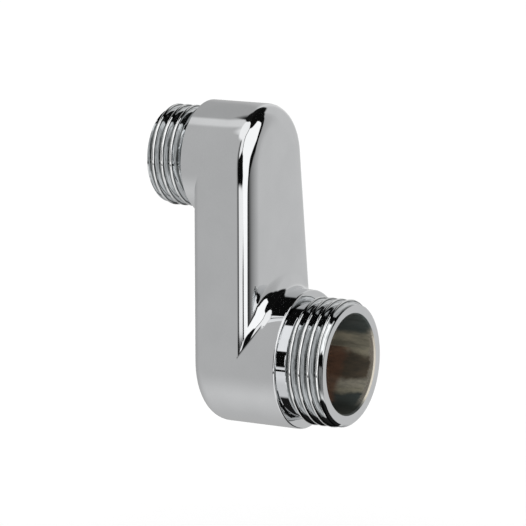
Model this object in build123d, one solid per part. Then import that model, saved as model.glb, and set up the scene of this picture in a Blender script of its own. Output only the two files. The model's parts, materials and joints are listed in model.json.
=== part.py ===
from build123d import *
import math
import os

# Offset connector between a wall elbow and a mixer tap: one plated brass forging, all sizes in millimetres.
# The two thread axes run along Y. The wall thread points to +Y and the tap thread to -Y, one offset lower.
# The origin lies on the wall thread's axis, midway along the plain length of that thread.

# Threads
wall_thread_radius = 10.48
tap_thread_radius = 13.22
wall_thread_length = 7.4
tap_thread_length = 8.1
relief_length = 1.8
thread_depth = 1.36
wall_end_bevel = 1.0
tap_end_bevel = 0.8

# Forged body
axis_offset = 41.0
wall_shoulder = 1.37
tap_shoulder = 1.18
wall_boss_height = 2.1
plate_thickness = 14.0
tap_boss_height = 6.0
front_rim_radius = 3.2
back_rim_radius = 3.3
front_blend_radius = 3.0
boss_edge_bevel = 0.35

# Waterway
metal_thickness = 4.1
cap_thickness = 3.3
core_rounding = 1.5
mouth_chamfer = 0.3

# Radii that follow from the threads
wall_boss_radius = wall_thread_radius + wall_shoulder
tap_boss_radius = tap_thread_radius + tap_shoulder
wall_bore_radius = wall_boss_radius - metal_thickness
tap_bore_radius = tap_boss_radius - metal_thickness

# Stations along Y, from the wall end to the tap end
thread_flank = thread_depth / 2
wall_end_y = wall_end_bevel + (wall_thread_length - wall_end_bevel) / 2
wall_groove_y = wall_end_y - wall_thread_length
wall_boss_y = wall_groove_y - relief_length
back_face_y = wall_boss_y - wall_boss_height
front_face_y = back_face_y - plate_thickness
tap_boss_y = front_face_y - tap_boss_height
tap_groove_y = tap_boss_y - relief_length
tap_end_y = tap_groove_y - tap_thread_length
middle_y = (back_face_y + front_face_y) / 2


# Tapered link between the two axes, with rounded rims on both faces
def tapered_link(top_radius, bottom_radius, back_y, front_y, back_rounding, front_rounding):
    lean = math.asin((bottom_radius - top_radius) / axis_offset)
    top_left = (-top_radius * math.cos(lean), top_radius * math.sin(lean))
    bottom_left = (-bottom_radius * math.cos(lean), bottom_radius * math.sin(lean) - axis_offset)
    top_right = (-top_left[0], top_left[1])
    bottom_right = (-bottom_left[0], bottom_left[1])
    with BuildPart() as link:
        with BuildSketch(Plane.XZ.offset(-back_y)):
            with BuildLine():
                Line(bottom_left, top_left)
                ThreePointArc(top_left, (0, top_radius), top_right)
                Line(top_right, bottom_right)
                ThreePointArc(bottom_right, (0, -axis_offset - bottom_radius), bottom_left)
            make_face()
        extrude(amount=back_y - front_y)
        fillet(link.faces().sort_by(Axis.Y)[0].edges(), radius=front_rounding)
        fillet(link.faces().sort_by(Axis.Y)[-1].edges(), radius=back_rounding)
    return link.part


# Solid of revolution about a thread axis, from (y, radius) corners of its half section
def turned(corners, axis_z):
    with BuildPart() as body:
        with BuildSketch(Plane.YZ):
            with BuildLine():
                Polyline([(y, axis_z + radius) for y, radius in corners], close=True)
            make_face()
        revolve(axis=Axis((0, 0, axis_z), (0, 1, 0)))
    return body.part


# Boss, relief groove and thread blank of one end; out is +1 towards the wall and -1 towards the tap
def threaded_end(out, axis_z, boss_radius, boss_y, thread_radius, groove_y, end_y, bevel):
    groove_radius = thread_radius - thread_depth
    corners = [
        (middle_y, 0),
        (middle_y, boss_radius),
        (boss_y - out * boss_edge_bevel, boss_radius),
        (boss_y, boss_radius - boss_edge_bevel),
        (boss_y, groove_radius),
        (groove_y - out * thread_flank, groove_radius),
        (groove_y, thread_radius),
        (end_y - out * bevel, thread_radius),
        (end_y, thread_radius - bevel),
        (end_y, 0),
    ]
    return turned(corners, axis_z)


# Round bore from the middle of the body out to an end face, with a chamfered mouth
def bore(out, axis_z, radius, end_y):
    corners = [
        (middle_y, 0),
        (middle_y, radius),
        (end_y - out * mouth_chamfer, radius),
        (end_y, radius + mouth_chamfer),
        (end_y, 0),
    ]
    return turned(corners, axis_z)


# Circular edges of a given radius about an axis, in the plane y
def ring_edges(part, radius, axis_z, y):
    found = []
    for edge in part.edges().filter_by(GeomType.CIRCLE):
        misses = [
            edge.center().Y - y,
            (edge @ 0).Y - y,
            edge.radius - radius,
            edge.arc_center.Z - axis_z,
        ]
        if max(abs(miss) for miss in misses) < mouth_chamfer / 10:
            found.append(edge)
    return found


# Outer form: the link with a threaded end on each face, both flush with its round ends
link = tapered_link(
    wall_boss_radius, tap_boss_radius, back_face_y, front_face_y, back_rim_radius, front_rim_radius
)
wall_end = threaded_end(
    1, 0, wall_boss_radius, wall_boss_y, wall_thread_radius, wall_groove_y, wall_end_y, wall_end_bevel
)
tap_end = threaded_end(
    -1, -axis_offset, tap_boss_radius, tap_boss_y, tap_thread_radius, tap_groove_y, tap_end_y, tap_end_bevel
)
fitting = link + wall_end + tap_end

# Waterway: a cored link inside the body, opened by a bore at each end
core_back_y = back_face_y - cap_thickness
core_front_y = front_face_y + cap_thickness
core = tapered_link(
    wall_bore_radius, tap_bore_radius, core_back_y, core_front_y, core_rounding, core_rounding
)
core += bore(1, 0, wall_bore_radius, wall_end_y)
core += bore(-1, -axis_offset, tap_bore_radius, tap_end_y)
fitting -= core

# Concave blend round the foot of the tap boss; the back face is turned square to the wall boss
front_blend = min(front_blend_radius, tap_boss_height - 2 * boss_edge_bevel)
fitting = fillet(ring_edges(fitting, tap_boss_radius, -axis_offset, front_face_y), front_blend)

os.makedirs("parts", exist_ok=True)
fitting.label = "eccentric_fitting"
export_step(fitting, "parts/eccentric_fitting.step")
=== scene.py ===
import json
import logging
import math
from collections.abc import Callable
from dataclasses import dataclass, field
from enum import Enum

import bpy
import numpy as np
from mathutils import Matrix, Vector
from mathutils.kdtree import KDTree

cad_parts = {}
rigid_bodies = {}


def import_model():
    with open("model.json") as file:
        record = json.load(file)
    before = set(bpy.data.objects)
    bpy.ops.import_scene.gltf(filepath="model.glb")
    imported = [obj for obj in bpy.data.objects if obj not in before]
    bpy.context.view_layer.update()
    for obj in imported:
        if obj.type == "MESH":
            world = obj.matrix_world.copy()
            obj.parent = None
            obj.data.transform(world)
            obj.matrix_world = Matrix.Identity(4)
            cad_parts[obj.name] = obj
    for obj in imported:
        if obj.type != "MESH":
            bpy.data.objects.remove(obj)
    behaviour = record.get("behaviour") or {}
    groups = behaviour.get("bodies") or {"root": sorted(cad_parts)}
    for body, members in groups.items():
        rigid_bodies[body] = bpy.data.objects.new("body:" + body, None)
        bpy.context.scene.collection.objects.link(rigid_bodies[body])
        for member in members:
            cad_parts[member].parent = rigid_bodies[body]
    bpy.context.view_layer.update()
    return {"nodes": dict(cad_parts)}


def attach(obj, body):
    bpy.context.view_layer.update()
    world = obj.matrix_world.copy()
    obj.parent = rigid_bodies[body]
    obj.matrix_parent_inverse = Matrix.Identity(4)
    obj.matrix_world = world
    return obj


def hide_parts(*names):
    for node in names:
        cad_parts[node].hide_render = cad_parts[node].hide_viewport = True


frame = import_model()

Colour = tuple[float, float, float]

MM = 0.001
TURN = 2.0 * math.pi
DEGREES = 360.0
TINY = 1e-12
BLACK: Colour = (0.0, 0.0, 0.0)
WHITE: Colour = (1.0, 1.0, 1.0)
NODE = "eccentric_fitting"
log = logging.getLogger(NODE)

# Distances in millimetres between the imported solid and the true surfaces
SAME_PLACE = 0.005
SAME_RADIUS = 0.02
PAST_END = 0.01
ON_SURFACE = 0.03
NOWHERE_NEAR = 9.0
# How well a facet has to face along a true surface, as a cosine, and less than any cosine
FACES_ALONG = 0.8
NO_MATCH = -2.0
# How often the long edges are halved at most
MOST_PASSES = 16


class End(Enum):
    """An end of the fitting. The value is its outward direction along Y."""

    WALL = 1
    TAP = -1


class Coat(Enum):
    """The finish of a face. The value is its place in the material slots."""

    CHROME = 0
    BRASS = 1
    SCREW = 2


class Value:
    """A number or a colour that nodes work out, for use in plain formulas."""

    def __init__(self, sheet: "Sheet", socket: bpy.types.NodeSocket) -> None:
        """Keeps the sheet and the socket that the value comes out of."""
        self.sheet, self.socket = sheet, socket

    def __add__(self, other: object) -> "Value":
        """Adds the other."""
        return self.sheet.maths("ADD", self, other)

    def __sub__(self, other: object) -> "Value":
        """Takes the other away."""
        return self.sheet.maths("SUBTRACT", self, other)

    def __rsub__(self, other: object) -> "Value":
        """Takes this away from the other."""
        return self.sheet.maths("SUBTRACT", other, self)

    def __mul__(self, other: object) -> "Value":
        """Multiplies by the other."""
        return self.sheet.maths("MULTIPLY", self, other)

    def __truediv__(self, other: object) -> "Value":
        """Divides by the other."""
        return self.sheet.maths("DIVIDE", self, other)


class Sheet:
    """Lays out the nodes of one tree."""

    columns = 12
    spacing = (180, -220)

    def __init__(self, tree: bpy.types.NodeTree) -> None:
        """Keeps the tree that the nodes go into."""
        self.tree = tree

    def node(self, kind: str, inputs: dict[str | int, object] | None = None,
             **settings: object) -> bpy.types.Node:
        """Adds a node.

        Args:
            kind: The node's type name.
            inputs: What goes into its sockets: values, sockets or constants.
            **settings: Properties to set on it.

        Returns:
            The new node.
        """
        made = self.tree.nodes.new(kind)
        for name, setting in settings.items():
            setattr(made, name, setting)
        for name, given in (inputs or {}).items():
            self.feed(made.inputs[name], given)
        row, column = divmod(len(self.tree.nodes), self.columns)
        made.location = (self.spacing[0] * column, self.spacing[1] * row)
        return made

    def feed(self, socket: bpy.types.NodeSocket, given: object) -> None:
        """Links a socket to another, or sets its constant.

        Args:
            socket: The input to fill.
            given: A value, an output socket, a number or a tuple.
        """
        source = given.socket if isinstance(given, Value) else given
        if isinstance(source, bpy.types.NodeSocket):
            self.tree.links.new(source, socket)
        else:
            socket.default_value = source

    def value(self, kind: str, inputs: dict[str | int, object] | None = None, output: str | int = 0,
              **settings: object) -> Value:
        """Adds a node as node() does, and gives the value of one of its outputs."""
        return Value(self, self.node(kind, inputs, **settings).outputs[output])

    def maths(self, operation: str, *values: object, clamp: bool = False) -> Value:
        """Works out one step of a formula, which clamp keeps between 0 and 1."""
        return self.value("ShaderNodeMath", dict(enumerate(values)), operation=operation, use_clamp=clamp)

    def parts(self, vector: Value) -> list[Value]:
        """Takes a place or a direction apart into X, Y and Z."""
        return [Value(self, socket) for socket in self.node("ShaderNodeSeparateXYZ", {0: vector}).outputs]

    def ramp(self, factor: Value, stops: list[tuple[float, Colour]], how: str = "LINEAR") -> Value:
        """Picks a colour from a row of colours.

        Args:
            factor: The value that picks it.
            stops: Places from 0 to 1 with their linear colours.
            how: The way from one stop to the next.

        Returns:
            The colour.
        """
        made = self.node("ShaderNodeValToRGB", {0: factor})
        made.color_ramp.interpolation = how
        marks = made.color_ramp.elements
        while len(marks) > 1:
            marks.remove(marks[-1])
        marks[0].position, marks[0].color = stops[0][0], (*stops[0][1], 1.0)
        for place, colour in stops[1:]:
            marks.new(place).color = (*colour, 1.0)
        return Value(self, made.outputs[0])

    def mix(self, factor: object, low: Value | Colour, high: Value | Colour) -> Value:
        """Goes from the low colour to the high one as the factor goes from 0 to 1."""
        low, high = (colour if isinstance(colour, Value) else (*colour, 1.0) for colour in (low, high))
        return self.value("ShaderNodeMix", {0: factor, 6: low, 7: high}, 2, data_type="RGBA")

    def fade(self, value: Value, start: float, end: float, low: float = 0.0, high: float = 1.0,
             soft: bool = True) -> Value:
        """Goes from low to high while a value goes from start to end.

        Args:
            value: The value that leads.
            start: Where it leaves low.
            end: Where it reaches high.
            low: The result up to the start.
            high: The result past the end.
            soft: Whether it eases in and out.

        Returns:
            The result.
        """
        limits = {"Value": value, "From Min": start, "From Max": end, "To Min": low, "To Max": high}
        return self.value("ShaderNodeMapRange", limits, interpolation_type="SMOOTHSTEP" if soft else "LINEAR")

    def noise(self, place: Value, scale: float, detail: float = 3.0, roughness: float = 0.5,
              stretch: Colour | None = None) -> Value:
        """Makes an uneven pattern.

        Args:
            place: The coordinates that it reads.
            scale: Its scale, per metre.
            detail: Its octaves.
            roughness: How strong the fine octaves are.
            stretch: How much of the scale counts along X, Y and Z, where it isn't the same.

        Returns:
            The pattern, about 0 to 1.
        """
        if stretch:
            place = self.value("ShaderNodeMapping", {"Vector": place, "Scale": stretch})
        how = {"Vector": place, "Scale": scale, "Detail": detail, "Roughness": roughness}
        return self.value("ShaderNodeTexNoise", how)

    def bump(self, height: Value, strength: float, distance: float) -> Value:
        """Turns a pattern into fine relief, whose depth is a distance in millimetres."""
        how = {"Strength": strength, "Distance": distance * MM, "Height": height}
        return self.value("ShaderNodeBump", how)


def grey(level: float) -> Colour:
    """Gives the linear colour of a grey as it is seen on a screen, from 0 to 255."""
    value = level / 255.0
    return (value / 12.92 if value <= 0.04045 else ((value + 0.055) / 1.055) ** 2.4,) * 3


class Finish:
    """What every finish shares: its look is worked out from Object coordinates."""

    name: str

    def looks(self, sheet: Sheet, place: Value) -> dict[str, object]:
        """Works out the look.

        Args:
            sheet: The material's sheet.
            place: The Object coordinates.

        Returns:
            What goes into the sockets of the shader.
        """
        raise NotImplementedError

    def material(self) -> bpy.types.Material:
        """Builds the material.

        Returns:
            The material, with nodes.
        """
        made = bpy.data.materials.new(self.name)
        made.use_nodes = True
        sheet = Sheet(made.node_tree)
        shader = made.node_tree.nodes["Principled BSDF"]
        for socket, given in self.looks(sheet, sheet.value("ShaderNodeTexCoord", output="Object")).items():
            sheet.feed(shader.inputs[socket], given)
        return made


@dataclass(frozen=True)
class PolishedChrome(Finish):
    """Bright chrome plate over polished brass, with faint polishing marks and haze."""

    name: str = "polished_chrome"
    colour: Colour = (0.80, 0.81, 0.82)
    shade: Colour = (0.76, 0.77, 0.78)
    smooth: float = 0.02
    hazy: float = 0.045
    cloud_scale: float = 160.0
    cloud_share: float = 0.65
    mark_scale: float = 2600.0
    bump: float = 0.02
    bump_depth: float = 0.02

    def looks(self, sheet: Sheet, place: Value) -> dict[str, object]:
        """Works out the look.

        Args:
            sheet: The material's sheet.
            place: The Object coordinates.

        Returns:
            What goes into the sockets of the shader.
        """
        cloud = sheet.noise(place, self.cloud_scale, 4.0)
        marks = sheet.noise(place, self.mark_scale, 5.0, 0.65)
        both = marks * (1.0 - self.cloud_share) + cloud * self.cloud_share
        return {
            "Metallic": 1.0,
            "Base Color": sheet.ramp(both, [(0.3, self.shade), (0.7, self.colour)], "EASE"),
            "Roughness": sheet.fade(both, 0.35, 0.7, self.smooth, self.hazy, soft=False),
            "Normal": sheet.bump(cloud, self.bump, self.bump_depth),
        }


@dataclass(frozen=True)
class RawBrass(Finish):
    """Unplated cast brass inside the waterway, dulled and stained, with plating thrown into the tap mouth,
    and with painted shade and painted reflection in its bands round the bore.
    """

    name: str = "raw_brass"
    charcoal: Colour = (0.105, 0.125, 0.120)
    olive: Colour = (0.52, 0.485, 0.37)
    bronze: Colour = (0.29, 0.150, 0.095)
    umber: Colour = (0.18, 0.145, 0.105)
    cream_reflection: Colour = (0.64, 0.60, 0.49)
    # The soot colour serves the dark streaks and also the painted shade across the bottom of the bore.
    soot_and_shade: Colour = (0.040, 0.048, 0.044)
    plate: Colour = (0.66, 0.61, 0.52)
    tap_axis_z: float = -41.0
    tap_mouth_y: float = -37.0
    wall_mouth_y: float = 4.2
    plated_depth: float = 1.6
    plated_solid: float = 0.56
    plated_ragged: float = 2.2
    plated_metal: float = 0.55
    plated_gloss: float = 0.22
    stain_start: float = 9.0
    stain_end: float = 11.2
    stain_ragged: float = 6.0
    stain_scale: float = 150.0
    stain_share: float = 0.85
    band_wander: float = 0.07
    streak_scale: float = 520.0
    soot_share: float = 0.55
    grain_scale: float = 3200.0
    grain_share: float = 0.4
    bump: float = 0.25
    bump_depth: float = 0.08
    metallic: float = 0.35

    def bands(self) -> list[tuple[float, Colour]]:
        """Lists the tarnish round the bore, with painted shade and painted reflection among its bands.

        Returns:
            Parts of a turn, from the bore's top over its right side, with their colours.
        """
        # Partly tarnish and partly painted light: the cream band near 0.35 is a painted reflection, and the
        # near-black band across the bore's bottom, from 0.47 to 0.56, is painted shade.
        return [
            (0.00, self.charcoal), (0.17, self.charcoal), (0.205, self.olive), (0.25, self.olive),
            (0.275, self.umber), (0.33, self.umber), (0.35, self.cream_reflection), (0.385, self.olive),
            (0.405, self.charcoal), (0.47, self.soot_and_shade), (0.56, self.soot_and_shade), (0.66, self.umber),
            (0.80, self.olive), (0.92, self.charcoal),
        ]

    def looks(self, sheet: Sheet, place: Value) -> dict[str, object]:
        """Works out the look.

        Args:
            sheet: The material's sheet.
            place: The Object coordinates.

        Returns:
            What goes into the sockets of the shader.
        """
        stain = sheet.noise(place, self.stain_scale, 4.0, 0.55)
        streak = sheet.noise(place, self.streak_scale, 5.0, 0.7, stretch=(1.0, 0.25, 1.0))
        grain = sheet.noise(place, self.grain_scale)
        x, y, z = sheet.parts(place)
        depth = sheet.maths("MINIMUM", y - self.tap_mouth_y * MM, self.wall_mouth_y * MM - y)
        height = z - self.tap_axis_z * MM
        angle = sheet.maths("ARCTAN2", x, height) / TURN
        around = sheet.maths("FRACT", (stain - 0.5) * self.band_wander + angle + 1.0)
        tint = sheet.ramp(around, self.bands(), "EASE")
        stained = stain * (self.stain_ragged * MM) + depth
        deep = sheet.fade(stained, self.stain_start * MM, self.stain_end * MM)
        lower = sheet.maths("LESS_THAN", height, 0.5 * MM)
        tint = sheet.mix(deep * lower * self.stain_share, tint, self.bronze)
        worn = sheet.fade(streak, 0.42, 0.66, high=self.soot_share, soft=False)
        tint = sheet.mix(worn, tint, self.soot_and_shade)
        ragged = (streak - 0.5) * (self.plated_ragged * MM) + depth
        plated = sheet.fade(ragged, self.plated_depth * MM, self.plated_solid * MM)
        reach = [(0.15, BLACK), (0.22, WHITE), (0.40, WHITE), (0.46, BLACK)]
        thrown = plated * sheet.ramp(around, reach, "EASE")
        return {
            "Metallic": thrown * (self.plated_metal - self.metallic) + self.metallic,
            "Base Color": sheet.mix(thrown, tint, self.plate),
            "Roughness": streak * 0.3 + 0.26 - thrown * self.plated_gloss,
            "Normal": sheet.bump(grain * self.grain_share + streak, self.bump, self.bump_depth),
        }


@dataclass(frozen=True)
class ScrewChrome(Finish):
    """Chrome plate over a cut screw thread, with a painted highlight on the crests, painted shade in the
    roots, a painted dark reflection just below each crest, and fine tool lines.
    """

    name: str = "screw_chrome"
    # The crest colour is a painted highlight and the root colour is painted shade in the thread's roots; the
    # line colour is both the fine tool lines and a painted dark reflection just below each crest.
    crest: Colour = (0.95, 0.96, 0.96)
    flank: Colour = (0.84, 0.86, 0.87)
    root: Colour = (0.14, 0.15, 0.15)
    tool_line_and_dark_reflection: Colour = (0.07, 0.08, 0.08)
    split_z: float = -18.0
    tap_axis_z: float = -41.0
    wall_crest: float = 10.48
    tap_crest: float = 13.22
    depth: float = 1.36
    wander_scale: float = 1500.0
    tint_wander: float = 0.28
    line_wander: float = 2.5
    line_pitch: float = 0.30
    line_share: float = 0.40
    roughness: float = 0.03
    bump: float = 0.12
    bump_depth: float = 0.03

    def looks(self, sheet: Sheet, place: Value) -> dict[str, object]:
        """Works out the look.

        Args:
            sheet: The material's sheet.
            place: The Object coordinates.

        Returns:
            What goes into the sockets of the shader.
        """
        x, y, z = sheet.parts(place)
        on_tap = sheet.maths("LESS_THAN", z, self.split_z * MM)
        height = z - on_tap * (self.tap_axis_z * MM)
        crest = on_tap * ((self.tap_crest - self.wall_crest) * MM) + self.wall_crest * MM
        below = (crest - sheet.maths("SQRT", height * height + x * x)) / (self.depth * MM)
        wander = sheet.noise(place, self.wander_scale, 4.0, 0.7, stretch=(0.12, 1.0, 0.12))
        # Painted light by depth below the crest: a painted highlight on the crest, a painted dark reflection
        # just below it, and painted shade towards the root.
        stops = [
            (0.0, self.crest), (0.10, self.crest), (0.17, self.tool_line_and_dark_reflection), (0.22, self.tool_line_and_dark_reflection),
            (0.34, self.flank), (0.76, self.flank), (0.92, self.root),
        ]
        tint = sheet.ramp((wander - 0.5) * self.tint_wander + below, stops)
        wave = sheet.maths("PINGPONG", wander * self.line_wander + y / (self.line_pitch * MM), 0.5)
        thin = sheet.fade(wave, 0.20, 0.04, high=self.line_share)
        return {
            "Metallic": 1.0,
            "Base Color": sheet.mix(thin, tint, self.tool_line_and_dark_reflection),
            "Roughness": self.roughness,
            "Normal": sheet.bump(wave + wander, self.bump, self.bump_depth),
        }


@dataclass(frozen=True)
class PaleFloor(Finish):
    """Matt white floor paint, a trace uneven."""

    name: str = "pale_floor"
    shade: Colour = (0.997, 0.997, 0.997)
    cloud_scale: float = 3.0

    def looks(self, sheet: Sheet, place: Value) -> dict[str, object]:
        """Works out the look.

        Args:
            sheet: The material's sheet.
            place: The Object coordinates.

        Returns:
            What goes into the sockets of the shader.
        """
        cloud = sheet.noise(place, self.cloud_scale, 2.0)
        return {
            "Base Color": sheet.ramp(cloud, [(0.3, self.shade), (0.7, WHITE)]),
            "Roughness": 1.0,
            "Specular IOR Level": 0.0,
        }


def in_scene(name: str, data: bpy.types.ID) -> bpy.types.Object:
    """Puts a new object in the scene.

    Args:
        name: Its name.
        data: Its mesh or its camera.

    Returns:
        The object, at the origin.
    """
    made = bpy.data.objects.new(name, data)
    bpy.context.scene.collection.objects.link(made)
    return made


def polished(along: np.ndarray, width: float) -> np.ndarray:
    """Softens the start of a bend, as polishing does.

    Args:
        along: The distance past the place where the bend starts.
        width: How far to each side the start is spread.

    Returns:
        The distance that counts as bent, 0 well before the bend and the distance itself well past it.
    """
    near = np.clip(along, -width, width) + width
    return np.where(along > width, along, near * near / (4.0 * width))


def finer(points: np.ndarray, faces: np.ndarray,
          longest: Callable[[np.ndarray], np.ndarray]) -> tuple[np.ndarray, np.ndarray]:
    """Halves the long edges of a mesh of triangles until none is too long.

    Args:
        points: The places, one a row.
        faces: Triangles as places in the points.
        longest: Gives the longest good edge for places.

    Returns:
        The points and the faces of the finer mesh.
    """
    for _ in range(MOST_PASSES):
        sides = np.sort(np.stack([faces, np.roll(faces, -1, axis=1)], 2).reshape(-1, 2), axis=1)
        edges, which = np.unique(sides, axis=0, return_inverse=True)
        ends = points[edges]
        middle = ends.mean(axis=1)
        size = np.linalg.norm(ends[:, 1] - ends[:, 0], axis=1)
        which = which.reshape(-1, 3)
        leading = np.zeros(len(edges), bool)
        leading[which[np.arange(len(faces)), size[which].argmax(axis=1)]] = True
        long = leading & (size > longest(middle))
        if not long.any():
            break
        number = np.full(len(edges), -1)
        number[long] = len(points) + np.arange(long.sum())
        points = np.vstack([points, middle[long]])
        cut = number[which]
        cuts = (cut >= 0).sum(axis=1)
        parts = [faces[cuts == 0]]
        for turn in range(3):
            face, on = np.roll(faces, -turn, axis=1), np.roll(cut, -turn, axis=1)
            one = (cuts == 1) & (on[:, 0] >= 0)
            a, b, c, m = *face[one].T, on[one, 0]
            parts += [np.stack([a, m, c], 1), np.stack([m, b, c], 1)]
            two = (cuts == 2) & (on[:, 2] < 0)
            a, b, c, m, n = *face[two].T, on[two, 0], on[two, 1]
            parts += [np.stack([m, b, n], 1), np.stack([a, m, n], 1), np.stack([a, n, c], 1)]
        whole = cuts == 3
        a, b, c, m, n, o = *faces[whole].T, *cut[whole].T
        parts += [np.stack(part, 1) for part in ((a, m, o), (m, b, n), (o, n, c), (m, n, o))]
        faces = np.vstack(parts)
    return points, faces


class Surface:
    """A surface of the real body whose direction is known at every point."""

    coat: Coat = Coat.CHROME

    def at(self, points: np.ndarray) -> tuple[np.ndarray, np.ndarray]:
        """Measures points against the surface.

        Args:
            points: Places in millimetres, one a row.

        Returns:
            How far each point is from the surface, and the outward direction there.
        """
        raise NotImplementedError


@dataclass(frozen=True)
class LinkSkin(Surface):
    """The tapered rounded link, as the outside of the body or as the wall of its hollow."""

    top_radius: float
    bottom_radius: float
    back_y: float
    front_y: float
    back_round: float
    front_round: float
    offset: float
    hollow: bool = False
    coat: Coat = Coat.CHROME
    side_polish: float = 6.0
    face_polish: float = 1.6
    rim_polish: float = 0.9
    fine_reach: float = 1.8
    fine_edge: float = 1.1
    turning_edge: float = 2.5
    plain_edge: float = 5.0

    @property
    def lean(self) -> tuple[float, float]:
        """The sine and cosine of the straight sides' lean."""
        sine = (self.bottom_radius - self.top_radius) / self.offset
        return sine, math.sqrt(1.0 - sine * sine)

    def outline(self, x: np.ndarray, z: np.ndarray) -> tuple[np.ndarray, np.ndarray]:
        """Measures points against the link's outline.

        Args:
            x: Their places across the link.
            z: Their heights.

        Returns:
            The distance outside the outline, and the distance run down its side from where it turns straight.
        """
        sine, cosine = self.lean
        side = np.abs(x)
        along = side * sine - z * cosine
        straight = self.offset * cosine
        turned = math.atan2(cosine, sine)
        top_angle = np.arctan2(side, z)
        low_angle = np.arctan2(side, z + self.offset)
        upper, lower = along < 0, along > straight
        away = np.where(upper, np.hypot(side, z), side * cosine + z * sine) - self.top_radius
        away = np.where(lower, np.hypot(side, z + self.offset) - self.bottom_radius, away)
        run = np.where(upper, self.top_radius * (top_angle - turned), along)
        run = np.where(lower, straight + self.bottom_radius * (low_angle - turned), run)
        return away, run

    def across(self, points: np.ndarray) -> tuple[np.ndarray, np.ndarray, np.ndarray]:
        """Follows the link's section from the front face over the side to the back face.

        Args:
            points: Places in millimetres, one a row.

        Returns:
            How far each point is from the surface, its distance along the section from where the front
            rim starts, and its distance down the outline.
        """
        away, run = self.outline(points[:, 0], points[:, 2])
        front, back = self.front_y + self.front_round, self.back_y - self.back_round
        y = points[:, 1]
        rise = np.where(y < front, front - y, np.where(y > back, y - back, 0.0))
        rim = np.where(y < front, self.front_round, self.back_round)
        reach = away + rim
        bent = np.arctan2(reach, rise + TINY)
        size = np.hypot(np.maximum(reach, 0.0), rise)
        miss = np.abs(np.where(rise == 0.0, away, size - rim))
        first, second, third = self.section_marks()
        before = np.where(reach < 0.0, reach, rim * bent)
        place = np.where(y < front, before, np.where(y > back, third - before, first + y - front))
        return miss, place, run

    def section_marks(self) -> tuple[float, float, float]:
        """Gives the places where the section changes between straight and bent.

        Returns:
            Where it leaves the front rim, where it meets the back rim and where it leaves that.
        """
        first = self.front_round * TURN / 4.0
        second = first + (self.back_y - self.back_round) - (self.front_y + self.front_round)
        return first, second, second + self.back_round * TURN / 4.0

    def at(self, points: np.ndarray) -> tuple[np.ndarray, np.ndarray]:
        """Measures points against the link.

        Args:
            points: Places in millimetres, one a row.

        Returns:
            How far each point is from the surface, and the outward direction there, polished smooth.
        """
        miss, place, run = self.across(points)
        sine, cosine = self.lean
        first, second, third = self.section_marks()
        on_top = polished(-run, self.side_polish) / self.top_radius
        on_foot = np.maximum(run - self.offset * cosine, 0.0) / self.bottom_radius
        down = math.atan2(cosine, sine) - on_top + on_foot
        round_front = polished(place, self.face_polish) - polished(place - first, self.rim_polish)
        round_back = polished(place - second, self.rim_polish) - polished(place - third, self.face_polish)
        bent = round_front / self.front_round + round_back / self.back_round
        bent = np.clip(bent, 0.0, TURN / 2.0)
        side = np.sin(bent) * np.sin(down) * np.sign(points[:, 0] + TINY)
        facing = np.stack([side, -np.cos(bent), np.sin(bent) * np.cos(down)], 1)
        return miss, -facing if self.hollow else facing

    def finest(self, points: np.ndarray) -> np.ndarray:
        """Tells how long an edge of a facet may be, short where the direction turns.

        Args:
            points: Places in millimetres, one a row.

        Returns:
            The longest good edge at each point.
        """
        miss, place, run = self.across(points)
        bends = [np.abs(place - mark) for mark in (0.0, *self.section_marks())]
        longest = np.where(np.min(bends, axis=0) < self.fine_reach, self.fine_edge, self.plain_edge)
        turning = np.abs(run) < self.side_polish + 1.0
        longest = np.where(turning, np.minimum(longest, self.turning_edge), longest)
        return np.where(miss < 0.05, longest, np.inf)


@dataclass(frozen=True)
class TurnedWall(Surface):
    """A cylinder or cone about one of the two axes. A rounded one is a bevel worn round by polishing."""

    axis_z: float
    first: tuple[float, float]
    last: tuple[float, float]
    hollow: bool = False
    coat: Coat = Coat.CHROME
    rounded: bool = False
    turned_by: float = 35.0

    def at(self, points: np.ndarray) -> tuple[np.ndarray, np.ndarray]:
        """Measures points against the wall.

        Args:
            points: Places in millimetres, one a row.

        Returns:
            How far each point is from the surface, and the outward direction there.
        """
        (y0, r0), (y1, r1) = sorted((self.first, self.last))
        y = points[:, 1]
        radius = np.hypot(points[:, 0], points[:, 2] - self.axis_z) + TINY
        slope = (r1 - r0) / (y1 - y0)
        size = math.hypot(1.0, slope)
        miss = np.abs(radius - r0 - slope * (y - y0)) / size
        miss = np.where((y < y0 - PAST_END) | (y > y1 + PAST_END), NOWHERE_NEAR, miss)
        across, up = points[:, 0] / radius, (points[:, 2] - self.axis_z) / radius
        tilt = np.full_like(y, math.atan(-slope))
        if self.rounded:
            share = np.clip((y - self.first[0]) / (self.last[0] - self.first[0]), 0.0, 1.0)
            tilt += math.radians(self.turned_by) * (2.0 * share - 1.0) * np.sign(tilt)
        out = np.stack([across * np.cos(tilt), np.sin(tilt), up * np.cos(tilt)], 1)
        return miss, -out if self.hollow else out


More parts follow.
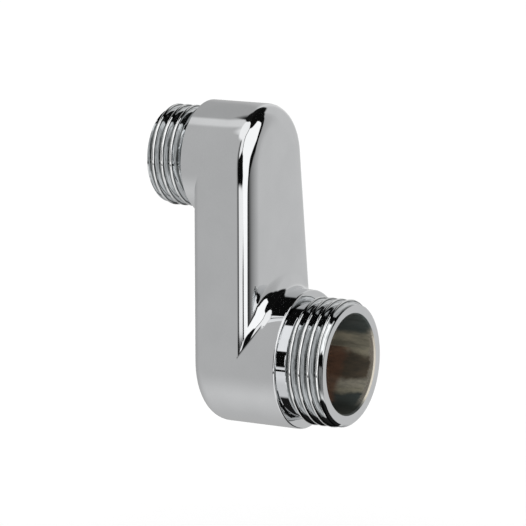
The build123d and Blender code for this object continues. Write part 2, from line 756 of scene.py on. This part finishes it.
@dataclass(frozen=True)
class BallBlend(Surface):
    """The hollow blend that a rolling ball leaves between the tap boss and the front of the link."""

    link: LinkSkin
    ball: float
    boss_radius: float
    coat: Coat = Coat.CHROME
    steps: int = 24001
    margin: float = 0.1

    def centres(self) -> np.ndarray:
        """Gives the ball's centre all along its path.

        Returns:
            The places, one a row.
        """
        link, reach = self.link, self.boss_radius + self.ball
        limit = math.acos((link.bottom_radius - link.top_radius) / link.offset)
        angle = np.linspace(-limit, limit, self.steps)
        x, z = reach * np.sin(angle), reach * np.cos(angle) - link.offset
        away = link.outline(x, z)[0] + link.front_round
        touch = link.front_round + self.ball
        drop = np.sqrt(np.maximum(touch ** 2 - np.maximum(away, 0.0) ** 2, 0.0))
        return np.stack([x, link.front_y + link.front_round - drop, z], 1)

    def at(self, points: np.ndarray) -> tuple[np.ndarray, np.ndarray]:
        """Measures points against the blend.

        Args:
            points: Places in millimetres, one a row.

        Returns:
            How far each point is from the surface, and the outward direction there.
        """
        path = self.centres()
        tree = KDTree(len(path))
        for number, spot in enumerate(path):
            tree.insert(spot, number)
        tree.balance()
        depth = points[:, 1] - self.link.front_y
        radius = np.hypot(points[:, 0], points[:, 2] + self.link.offset)
        close = (depth > -self.ball - self.margin) & (depth < self.link.front_round + self.margin)
        close &= (radius > self.boss_radius - self.margin) & (radius < self.boss_radius + 2.0 * self.ball)
        gap = np.full_like(points, NOWHERE_NEAR)
        gap[close] = [tree.find(spot)[0] - Vector(spot) for spot in points[close]]
        size = np.linalg.norm(gap, axis=1) + TINY
        return np.abs(size - self.ball), gap / size[:, None]


@dataclass(frozen=True)
class ThreadForm:
    """A screw thread with rounded crests and roots, in millimetres."""

    pitch: float = 2.117
    depth: float = 1.36
    flank_angle: float = 27.5
    round_share: float = 0.1373

    @property
    def round_radius(self) -> float:
        """The radius of crest and root."""
        return self.round_share * self.pitch

    @property
    def round_reach(self) -> float:
        """How far from the crest its rounding ends, along the axis."""
        return self.round_radius * math.cos(math.radians(self.flank_angle))


@dataclass(frozen=True)
class ThreadedEnd:
    """One screwed end of the fitting, from the shoulder of its boss to its end face."""

    end: End
    axis_z: float
    crest_radius: float
    shoulder_radius: float
    shoulder_y: float
    groove_length: float
    end_y: float
    bevel: float
    mouth_radius: float
    crest_y: float
    form: ThreadForm = field(default_factory=ThreadForm)
    around: int = 192
    rows_a_turn: int = 22
    crowding: float = 0.55
    start_turn: float = 0.75
    weld: float = 0.002
    sharp_angle: float = 34.0

    @property
    def name(self) -> str:
        """The end's plain name."""
        return f"{self.end.name.lower()}_thread"

    @property
    def groove_radius(self) -> float:
        """The radius of the relief groove, the same as the thread's root."""
        return self.crest_radius - self.form.depth

    def turns(self) -> tuple[int, int]:
        """Finds which turns of the helix are needed.

        Returns:
            The first turn, counted from the one at crest_y, and how many there are.
        """
        low, high = sorted((self.shoulder_y, self.end_y))
        first = math.floor((low - self.crest_y) / self.form.pitch - 0.3)
        last = math.ceil((high - self.crest_y) / self.form.pitch + 0.8)
        return first, last - first

    def tree(self) -> bpy.types.NodeTree:
        """Builds the Geometry Nodes tree that cuts the thread.

        Returns:
            A tree whose inputs are the thread's sizes.
        """
        tree = bpy.data.node_groups.new(self.name, "GeometryNodeTree")
        tree.is_modifier = True
        first, count = self.turns()
        sizes = {
            "Crest Radius": self.crest_radius * MM,
            "Groove Radius": self.groove_radius * MM,
            "Pitch": self.form.pitch * MM,
            "Rounding": self.form.round_radius * MM,
            "Rounding Reach": self.form.round_reach * MM,
            "Flank Slope": 1.0 / math.tan(math.radians(self.form.flank_angle)),
            "Crest Place": self.crest_y * MM,
            "First Turn": float(first),
            "Shoulder Place": self.shoulder_y * MM,
            "End Place": self.end_y * MM,
            "Direction": float(self.end.value),
            "Groove Length": self.groove_length * MM,
            "Bevel": self.bevel * MM,
            "Axis Height": self.axis_z * MM,
            "Crowding": self.crowding,
        }
        counts = {"Around": self.around, "Rows a Turn": self.rows_a_turn, "Turns": count}
        tree.interface.new_socket("Geometry", in_out="OUTPUT", socket_type="NodeSocketGeometry")
        for kind, inputs in (("NodeSocketInt", counts), ("NodeSocketFloat", sizes)):
            for label, size in inputs.items():
                made = tree.interface.new_socket(label, in_out="INPUT", socket_type=kind)
                made.default_value = size
        tree.interface.new_socket("Plate", in_out="INPUT", socket_type="NodeSocketMaterial")
        sheet = Sheet(tree)
        take = {socket.name: Value(sheet, socket) for socket in sheet.node("NodeGroupInput").outputs}
        rows = take["Rows a Turn"] * take["Turns"]
        grid = sheet.value("GeometryNodeMeshGrid", {
            "Size X": 1.0, "Size Y": 1.0, "Vertices X": take["Around"] + 1.0, "Vertices Y": rows + 1.0})
        across, along, _ = sheet.parts(sheet.value("GeometryNodeInputPosition"))
        turn, step = across + 0.5, (along + 0.5) * take["Turns"]
        wave = sheet.maths("SINE", step * (2.0 * TURN))
        row = step - wave * take["Crowding"] / (2.0 * TURN) + take["First Turn"]
        lead = turn - self.start_turn
        free = (row + lead) * take["Pitch"] + take["Crest Place"]
        low = sheet.maths("MINIMUM", take["Shoulder Place"], take["End Place"])
        high = sheet.maths("MAXIMUM", take["Shoulder Place"], take["End Place"])
        place = sheet.maths("MINIMUM", sheet.maths("MAXIMUM", free, low), high)
        half = sheet.maths("PINGPONG", (place - take["Crest Place"]) / take["Pitch"] - lead, 0.5)
        radius = self.profile(sheet, take, half * take["Pitch"])
        out = (place - take["Shoulder Place"]) * take["Direction"]
        depth = take["Crest Radius"] - take["Groove Radius"]
        rise = sheet.maths("MAXIMUM", out - (take["Groove Length"] - depth * 0.5), 0.0)
        flank = rise * 2.0 + take["Groove Radius"]
        edge = take["Crest Radius"] - take["Bevel"] + (take["End Place"] - place) * take["Direction"]
        radius = sheet.maths("MINIMUM", radius, sheet.maths("MINIMUM", flank, edge))
        angle = turn * TURN
        x, z = (radius * sheet.maths(step_of, angle) for step_of in ("SINE", "COSINE"))
        wound = sheet.value("ShaderNodeCombineXYZ", {0: x, 1: place, 2: z + take["Axis Height"]})
        moved = sheet.value("GeometryNodeSetPosition", {"Geometry": grid, "Position": wound})
        welded = sheet.value("GeometryNodeMergeByDistance", {"Geometry": moved, "Distance": self.weld * MM})
        real = sheet.value("GeometryNodeRealizeInstances", {"Geometry": welded})
        coat = sheet.value("GeometryNodeSetMaterial", {"Geometry": real, "Material": take["Plate"]})
        sheet.node("NodeGroupOutput", {0: coat})
        return tree

    @staticmethod
    def profile(sheet: Sheet, take: dict[str, Value], off_crest: Value) -> Value:
        """Lays out the rule of the thread's section.

        Args:
            sheet: The tree's sheet.
            take: The tree's inputs.
            off_crest: The distance from the nearest crest, along the axis.

        Returns:
            The radius of the thread there.
        """
        def dip(away: Value) -> Value:
            """Gives how far a round form falls at a distance from its middle."""
            left = sheet.maths("MAXIMUM", take["Rounding"] * take["Rounding"] - away * away, 0.0)
            return take["Rounding"] - sheet.maths("SQRT", left)

        depth = take["Crest Radius"] - take["Groove Radius"]
        half_pitch = take["Pitch"] * 0.5
        off_root = half_pitch - off_crest
        flank = (off_crest - half_pitch * 0.5) * take["Flank Slope"] + depth * 0.5
        on_crest = sheet.maths("LESS_THAN", off_crest, take["Rounding Reach"])
        on_root = sheet.maths("LESS_THAN", off_root, take["Rounding Reach"])
        cut = dip(off_crest) * on_crest + (depth - dip(off_root)) * on_root
        return take["Crest Radius"] - (cut + flank * (1.0 - (on_crest + on_root)))

    def sleeve(self, plate: bpy.types.Material) -> bpy.types.Mesh:
        """Runs the tree and keeps its result as a plain mesh.

        Args:
            plate: The finish that the tree sets.

        Returns:
            The open sleeve of the thread, in metres.
        """
        blank = bpy.data.meshes.new(f"{self.name}_blank")
        holder = in_scene(self.name, blank)
        modifier = holder.modifiers.new("thread", "NODES")
        modifier.node_group = self.tree()
        for item in modifier.node_group.interface.items_tree:
            if item.in_out == "INPUT":
                modifier[item.identifier] = plate if item.name == "Plate" else item.default_value
        seen = holder.evaluated_get(bpy.context.evaluated_depsgraph_get())
        made = bpy.data.meshes.new_from_object(seen)
        holder.modifiers.clear()
        bpy.data.objects.remove(holder)
        return made


@dataclass
class Shell:
    """Corners, faces and facing directions that grow into one mesh, in millimetres."""

    points: np.ndarray = field(default_factory=lambda: np.zeros((0, 3)))
    faces: list[tuple[int, ...]] = field(default_factory=list)
    coats: list[int] = field(default_factory=list)
    facing: list[np.ndarray] = field(default_factory=list)

    def add(self, points: np.ndarray, faces: list[tuple[int, ...]], coats: list[int],
            facing: list[np.ndarray]) -> int:
        """Adds faces with their own points.

        Args:
            points: The new places.
            faces: Faces as places in the new points.
            coats: A finish for each face.
            facing: A direction for each corner of each face, in order.

        Returns:
            The number that the first new point has in the shell.
        """
        base = len(self.points)
        self.points = np.vstack([self.points, points])
        self.faces += [tuple(base + int(i) for i in face) for face in faces]
        self.coats += coats
        self.facing += facing
        return base

    def ring(self, inner: list[int], outer: list[int], axis_z: float, direction: int) -> None:
        """Closes the flat ring between two loops that lie in one plane.

        Args:
            inner: Points of the inner loop.
            outer: Points of the outer loop.
            axis_z: The height of the axis that both run around.
            direction: Where the ring faces along Y, 1 or -1.
        """
        def in_order(loop: list[int]) -> list[tuple[float, int]]:
            """Puts a loop in order around the axis, each point after its angle."""
            return sorted((math.atan2(self.points[i][0], self.points[i][2] - axis_z), i) for i in loop)

        a, b = in_order(inner), in_order(outer)
        i = j = 0
        while i < len(a) or j < len(b):
            next_a = a[i + 1][0] if i + 1 < len(a) else a[0][0] + TURN
            next_b = b[j + 1][0] if j + 1 < len(b) else b[0][0] + TURN
            p, q = a[i % len(a)][1], b[j % len(b)][1]
            if j >= len(b) or (i < len(a) and next_a <= next_b):
                face = (p, q, a[(i + 1) % len(a)][1])
                i += 1
            else:
                face = (p, q, b[(j + 1) % len(b)][1])
                j += 1
            self.faces.append(face if direction > 0 else face[::-1])
            self.coats.append(Coat.CHROME.value)
            self.facing += [np.array((0.0, float(direction), 0.0))] * 3

    def mesh(self, name: str) -> bpy.types.Mesh:
        """Makes the mesh.

        Args:
            name: Its name.

        Returns:
            A mesh in metres with the shell's own facing directions.
        """
        used = sorted({i for face in self.faces for i in face})
        renumber = {old: new for new, old in enumerate(used)}
        made = bpy.data.meshes.new(name)
        made.from_pydata((self.points[used] * MM).tolist(), [],
                         [tuple(renumber[i] for i in face) for face in self.faces])
        made.polygons.foreach_set("material_index", self.coats)
        made.polygons.foreach_set("use_smooth", [True] * len(self.faces))
        made.update()
        made.normals_split_custom_set([tuple(f) for f in self.facing])
        return made


@dataclass
class EccentricFitting:
    """The fitting: a forged offset body with a screwed end on each axis, in one plated piece."""

    offset: float = 41.0
    top_radius: float = 11.85
    bottom_radius: float = 14.4
    back_y: float = -7.1
    front_y: float = -21.1
    back_rim: float = 3.3
    front_rim: float = 3.2
    foot_blend: float = 3.0
    boss_edge: float = 0.35
    wall_bore: float = 7.75
    tap_bore: float = 10.3
    cap: float = 3.3
    core_round: float = 1.5
    mouth_bevel: float = 0.3
    middle_y: float = -14.0
    weld: float = 2e-4
    chrome: PolishedChrome = field(default_factory=PolishedChrome)
    brass: RawBrass = field(default_factory=RawBrass)
    screw: ScrewChrome = field(default_factory=ScrewChrome)

    def ends(self) -> list[ThreadedEnd]:
        """Gives the two screwed ends with their sizes.

        Returns:
            The wall end and the tap end.
        """
        return [
            ThreadedEnd(End.WALL, 0.0, 10.48, 11.5, -5.0, 1.8, 4.2, 1.0, 8.05, 0.2),
            ThreadedEnd(End.TAP, -self.offset, 13.22, 14.05, -27.1, 1.8, -37.0, 0.8, 10.6, -31.96),
        ]

    def skin(self) -> LinkSkin:
        """Gives the outside of the link."""
        return LinkSkin(self.top_radius, self.bottom_radius, self.back_y, self.front_y,
                        self.back_rim, self.front_rim, self.offset)

    def side_end(self, end: End) -> float:
        """Gives where the link's straight side ends towards one end."""
        return self.back_y - self.back_rim if end is End.WALL else self.front_y + self.front_rim

    def surfaces(self) -> list[Surface]:
        """Lists the true surfaces of the body.

        Returns:
            The surfaces, outside and inside.
        """
        skin = self.skin()
        core = LinkSkin(self.wall_bore, self.tap_bore, self.back_y - self.cap, self.front_y + self.cap,
                        self.core_round, self.core_round, self.offset, True, Coat.BRASS)
        edge, lip = self.boss_edge, self.mouth_bevel
        walls = []
        for spec in self.ends():
            out, boss = spec.end.value, spec.shoulder_radius + edge
            bore = spec.mouth_radius - lip
            rim_y, lip_y = spec.shoulder_y - out * edge, spec.end_y - out * lip
            walls += [
                TurnedWall(spec.axis_z, (self.side_end(spec.end), boss), (rim_y, boss)),
                TurnedWall(spec.axis_z, (rim_y, boss), (spec.shoulder_y, boss - edge), rounded=True),
                TurnedWall(spec.axis_z, (self.middle_y, bore), (lip_y, bore), True, Coat.BRASS),
                TurnedWall(spec.axis_z, (lip_y, bore), (spec.end_y, bore + lip), True, Coat.BRASS),
            ]
        return [skin, core, BallBlend(skin, self.foot_blend, self.bottom_radius), *walls]

    def forged_body(self, shell: Shell) -> None:
        """Copies the body without its two plain screw blanks, and gives it its true facing directions.

        Args:
            shell: The shell that the faces go into.
        """
        source = frame["nodes"][NODE].data
        raw = np.zeros(len(source.vertices) * 3)
        source.vertices.foreach_get("co", raw)
        raw = raw.reshape(-1, 3) / MM
        _, first, number = np.unique(np.round(raw / self.weld).astype(np.int64), axis=0,
                                     return_index=True, return_inverse=True)
        points = raw[first]
        faces = number.reshape(-1)[np.array([p.vertices for p in source.polygons])]
        faces = faces[(faces != np.roll(faces, -1, axis=1)).all(axis=1)]
        for spec in self.ends():
            radius = np.hypot(points[:, 0], points[:, 2] - spec.axis_z)
            outside = (points[:, 1] - spec.shoulder_y) * spec.end.value > -SAME_PLACE
            blank = outside & (radius > spec.mouth_radius - SAME_PLACE)
            faces = faces[~blank[faces].all(axis=1)]
        points, faces = finer(points, faces, self.skin().finest)
        corners = points[faces].reshape(-1, 3)
        flat = np.cross(points[faces[:, 1]] - points[faces[:, 0]], points[faces[:, 2]] - points[faces[:, 0]])
        flat /= np.linalg.norm(flat, axis=1)[:, None] + TINY
        flat = np.repeat(flat, 3, axis=0)
        best = np.full(len(corners), NO_MATCH)
        chosen = flat.copy()
        coat = np.full(len(corners), Coat.CHROME.value)
        for surface in self.surfaces():
            miss, facing = surface.at(corners)
            match = np.where(miss < ON_SURFACE, (facing * flat).sum(1), NO_MATCH)
            better = match > best
            best = np.where(better, match, best)
            chosen = np.where(better[:, None], facing, chosen)
            coat = np.where(better, surface.coat.value, coat)
        lost = best < FACES_ALONG
        chosen = np.where(lost[:, None], flat, chosen)
        log.info("body: %d faces, %d of %d corners keep their flat direction",
                 len(faces), lost.sum(), len(corners))
        inside = np.median(coat.reshape(-1, 3), axis=1).astype(int)
        shell.add(points, [tuple(f) for f in faces], inside.tolist(), list(chosen))

    def screwed_end(self, shell: Shell, spec: ThreadedEnd, plate: bpy.types.Material) -> None:
        """Adds one thread and closes it against the body.

        Args:
            shell: The shell, with the body in it.
            spec: The end to add.
            plate: The finish that the thread's tree sets.
        """
        sleeve = spec.sleeve(plate)
        sleeve.polygons.foreach_set("use_smooth", [True] * len(sleeve.polygons))
        sleeve.set_sharp_from_angle(angle=math.radians(spec.sharp_angle))
        points = np.array([v.co for v in sleeve.vertices], float) / MM
        faces = [tuple(p.vertices) for p in sleeve.polygons]
        facing = [np.array(n.vector) for n in sleeve.corner_normals]
        body_shoulder, body_mouth = self.open_loops(shell, spec)
        base = shell.add(points, faces, self.thread_coats(spec, points, faces), facing)
        open_sleeve = [base + i for i in self.edge_points(faces)]
        foot, tip = ([i for i in open_sleeve if abs(shell.points[i][1] - place) < SAME_PLACE]
                     for place in (spec.shoulder_y, spec.end_y))
        shell.ring(foot, body_shoulder, spec.axis_z, spec.end.value)
        shell.ring(body_mouth, tip, spec.axis_z, spec.end.value)
        log.info("%s: %d faces", spec.name, len(faces))
        bpy.data.meshes.remove(sleeve)

    @staticmethod
    def thread_coats(spec: ThreadedEnd, points: np.ndarray, faces: list[tuple[int, ...]]) -> list[int]:
        """Tells the cut thread from the plain groove beside it.

        Args:
            spec: The end.
            points: The places of the sleeve.
            faces: Its faces.

        Returns:
            A finish for each face.
        """
        groove_end = spec.shoulder_y + spec.end.value * (spec.groove_length - spec.form.depth / 2)
        middle = np.array([points[list(face)][:, 1].mean() for face in faces])
        cut = (middle - groove_end) * spec.end.value > 0.0
        return np.where(cut, Coat.SCREW.value, Coat.CHROME.value).tolist()

    @staticmethod
    def edge_points(faces: list[tuple[int, ...]]) -> list[int]:
        """Finds the points on open edges.

        Args:
            faces: Faces as places in a list of points.

        Returns:
            The points that lie on an edge of one face only.
        """
        sides = np.sort([side for face in faces for side in zip(face, face[1:] + face[:1])], axis=1)
        edges, times = np.unique(sides, axis=0, return_counts=True)
        return np.unique(edges[times == 1]).tolist()

    def open_loops(self, shell: Shell, spec: ThreadedEnd) -> list[list[int]]:
        """Finds the two loops that the missing screw blank left in the body.

        Args:
            shell: The shell, with the body in it.
            spec: The end to look at.

        Returns:
            The points round the shoulder and those round the mouth.
        """
        found = np.array(self.edge_points(shell.faces))
        x, y, z = shell.points[found].T
        radius = np.hypot(x, z - spec.axis_z)
        rims = ((spec.shoulder_y, spec.shoulder_radius), (spec.end_y, spec.mouth_radius))
        return [found[(np.abs(y - place) < SAME_PLACE) & (np.abs(radius - size) < SAME_RADIUS)].tolist()
                for place, size in rims]

    def build(self) -> bpy.types.Object:
        """Builds the fitting as one closed piece.

        Returns:
            The finished object, riding on the root body.
        """
        coats = [finish.material() for finish in (self.chrome, self.brass, self.screw)]
        shell = Shell()
        self.forged_body(shell)
        for spec in self.ends():
            self.screwed_end(shell, spec, coats[Coat.SCREW.value])
        mesh = shell.mesh("fitting_body")
        for coat in coats:
            mesh.materials.append(coat)
        made = in_scene("fitting_body", mesh)
        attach(made, "root")
        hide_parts(NODE)
        return made


@dataclass(frozen=True)
class Card:
    """One soft lamp, panel or cloth of the studio, as the metal shows it.

    Its edges are rows of compass angle, lower edge and upper edge, in degrees round the fitting. A card
    with a last shade goes from its shade to that one along the compass.
    """

    name: str
    shade: float
    blur: float
    edges: tuple[tuple[float, float, float], ...]
    last_shade: float | None = None

    def over(self, sheet: Sheet, circle: Value, height: Value, behind: Value) -> Value:
        """Lays the card over what is behind it.

        Args:
            sheet: The world's sheet.
            circle: The compass angle, from 0 to 1.
            height: The angle above eye level, in degrees.
            behind: The colour of what is behind.

        Returns:
            The colour with the card in front.
        """
        half = DEGREES / 2.0
        first, last = self.edges[0][0] / DEGREES, self.edges[-1][0] / DEGREES
        cover = []
        for side in (1, 2):
            stops = [(spot[0] / DEGREES, ((spot[side] + half / 2.0) / half,) * 3) for spot in self.edges]
            edge = sheet.ramp(circle, stops) * half - half / 2.0
            past = height - edge if side == 1 else edge - height
            cover.append(sheet.fade(past, -self.blur, self.blur))
        seen = cover[0] * cover[1]
        if first > 0.0:
            seen = seen * sheet.maths("GREATER_THAN", circle, first)
        if last < 1.0:
            seen = seen * sheet.maths("LESS_THAN", circle, last)
        shade = grey(self.shade)
        if self.last_shade is not None:
            turned = sheet.maths("DIVIDE", circle - first, last - first, clamp=True)
            shade = sheet.mix(turned, shade, grey(self.last_shade))
        return sheet.mix(seen, behind, shade)


@dataclass(frozen=True)
class Studio:
    """Soft studio surroundings: white to the camera, and lamps, panels and walls for the metal to show."""

    floor_half: float = 3.0
    floor_drop: float = 0.040
    lowest: float = -0.0554
    daylight: float = 1.03
    paint: PaleFloor = field(default_factory=PaleFloor)

    def walls(self) -> list[tuple[float, Colour]]:
        """Lists the shades of the walls behind the cards, by compass angle.

        Returns:
            Places on the circle from 0 to 1 with their linear colours.
        """
        marks = [
            (0, 204), (20, 228), (33, 172), (80, 174), (110, 187), (170, 187), (180, 60), (183, 60),
            (187, 255), (243, 262), (248, 30), (262, 80), (281, 138), (300, 163), (322, 186), (331, 204),
            (360, 204),
        ]
        return [(angle / DEGREES, grey(level)) for angle, level in marks]

    def cards(self) -> list[Card]:
        """Lists the cards.

        Returns:
            The cards from the one farthest behind to the one in front.
        """
        return [
            Card("round lamp", 226, 8.0, (
                (70, 70, 70.1), (86, 54, 76), (106, 54, 76), (124, 70, 70.1))),
            Card("roof light", 262, 4.0, (
                (95, 72, 90), (112, 68, 90), (130, 58, 90), (150, 50, 90), (200, 48, 90), (208, 58, 90),
                (230, 68, 90), (254, 76, 90), (270, 88, 90))),
            Card("dark roof", 22, 3.0, (
                (0, 38, 90), (14, 40, 90), (26, 50, 90), (33, 58, 90), (70, 61, 90), (92, 76, 90),
                (110, 89, 90))),
            Card("right curtain", 14, 3.0, (
                (262, 50, 90), (303, -6, 90), (307, 5, 90), (310, 22, 90), (316, 36, 90), (332, 44, 90),
                (345, 42, 90), (360, 38, 90))),
            Card("left panel", 12, 1.5, (
                (178, 4, 4.1), (182, -3, 18), (195, -3, 24), (206, -4, 30), (207, -4, 46), (212, -4, 56),
                (250, 30, 70), (262, 30, 74))),
            Card("lamp frame", 12, 1.2, (
                (246, -9, 30), (252, -8.5, 30), (262, -6, 30), (270, -4, 30), (300, -3, 30), (306, -2, 30),
                (308.5, 6, 20))),
            Card("soft box", 275, 1.2, (
                (209, 27, 27.1), (211, 24, 44), (215, 21, 52), (217, 12, 54), (218.5, -60, 55),
                (238, -60, 62), (244, -11, 64), (252, -5, 62), (262, 0.5, 58), (270, 5, 56),
                (285, 6, 53), (297, 7, 51), (302, 24, 32))),
            Card("lamp seam", 14, 0.5, (
                (210.5, -10, -7.3), (219, -10, -7.1))),
            Card("lamp foot", 14, 0.06, (
                (175, -12, -7.95), (187, -12, -7.99), (201, -12, -8.21), (209, -12, -8.4), (223, -12, -8.85),
                (238, -12, -9.6))),
            Card("table", 238, 8.0, (
                (150, -40, -39), (160, -90, -30), (285, -90, -28), (300, -90, -89.9))),
            Card("floor", 172, 20.0, (
                (0, -90, -34), (30, -90, -26), (80, -90, -30), (120, -90, -32), (150, -90, -38),
                (164, -90, -89.9)), 220),
            Card("floor stripe", 30, 3.0, (
                (236, -52, -51.9), (248, -64, -42), (270, -76, -35), (335, -76, -34), (350, -76, -46),
                (358, -62, -61.9))),
        ]

    def sky(self) -> None:
        """Builds the world that lights the scene and that the metal shows."""
        world = bpy.data.worlds.new("studio")
        bpy.context.scene.world = world
        world.use_nodes = True
        sheet = Sheet(world.node_tree)
        world.node_tree.nodes.clear()
        x, y, z = sheet.parts(sheet.value("ShaderNodeTexCoord", output="Generated"))
        circle = sheet.maths("FRACT", sheet.maths("ARCTAN2", y, x) / TURN)
        height = sheet.maths("ARCSINE", z) * (DEGREES / TURN)
        room = sheet.ramp(circle, self.walls())
        for card in self.cards():
            room = card.over(sheet, circle, height, room)
        ray = sheet.node("ShaderNodeLightPath").outputs
        shown = sheet.maths("MAXIMUM", ray["Is Glossy Ray"], ray["Is Transmission Ray"])
        light = sheet.mix(shown, (self.daylight,) * 3, room)
        seen = sheet.mix(ray["Is Camera Ray"], light, WHITE)
        back = sheet.value("ShaderNodeBackground", {"Color": seen, "Strength": 1.0})
        sheet.node("ShaderNodeOutputWorld", {"Surface": back})

    def floor(self) -> bpy.types.Object:
        """Builds the pale floor under the fitting, which its wall thread holds up.

        Returns:
            The floor.
        """
        half, level = self.floor_half, self.lowest - self.floor_drop
        mesh = bpy.data.meshes.new("studio_floor")
        corners = [(-half, -half, level), (half, -half, level), (half, half, level), (-half, half, level)]
        mesh.from_pydata(corners, [], [(0, 1, 2, 3)])
        made = in_scene("studio_floor", mesh)
        mesh.materials.append(self.paint.material())
        made.visible_glossy = False
        return made


@dataclass(frozen=True)
class PhotoCamera:
    """The camera at the photograph's viewing angle."""

    azimuth: float = -59.507
    elevation: float = 13.236
    roll: float = -1.978
    distance: float = 684.33
    scale: float = 4.85807
    image: int = 526
    centre: tuple[float, float] = (260.546, 258.051)
    aim: tuple[float, float, float] = (0.0, -16.4, -20.5)

    def place(self) -> bpy.types.Object:
        """Creates the camera and makes it the scene's own.

        Returns:
            The camera.
        """
        az, el, roll = (math.radians(v) for v in (self.azimuth, self.elevation, self.roll))
        back = Vector((math.sin(az) * math.cos(el), -math.cos(az) * math.cos(el), math.sin(el)))
        level = Vector((math.cos(az), math.sin(az), 0.0))
        upright = back.cross(level)
        right = math.cos(roll) * level + math.sin(roll) * upright
        up = -math.sin(roll) * level + math.cos(roll) * upright
        turned = Matrix((right, up, back)).transposed()
        data = bpy.data.cameras.new("photo_camera")
        data.sensor_width = 36.0
        data.lens = 36.0 * self.distance * self.scale / self.image
        data.shift_x = (self.image / 2 - self.centre[0]) / self.image
        data.shift_y = (self.centre[1] - self.image / 2) / self.image
        data.clip_start, data.clip_end = 0.01, 20.0
        made = in_scene("photo_camera", data)
        place = (Vector(self.aim) + back * self.distance) * MM
        made.matrix_world = Matrix.Translation(place) @ turned.to_4x4()
        bpy.context.scene.camera = made
        return made


def main() -> None:
    """Builds the camera, the studio and the fitting."""
    logging.basicConfig(level=logging.INFO, format="%(name)s: %(message)s")
    bpy.context.scene.view_settings.view_transform = "Standard"
    PhotoCamera().place()
    log.info("camera placed")
    studio = Studio()
    studio.sky()
    studio.floor()
    log.info("studio built")
    body = EccentricFitting().build()
    log.info("fitting_body: %d corners, %d faces", len(body.data.vertices), len(body.data.polygons))
    log.info("sizes written")


if __name__ == "__main__":
    main()
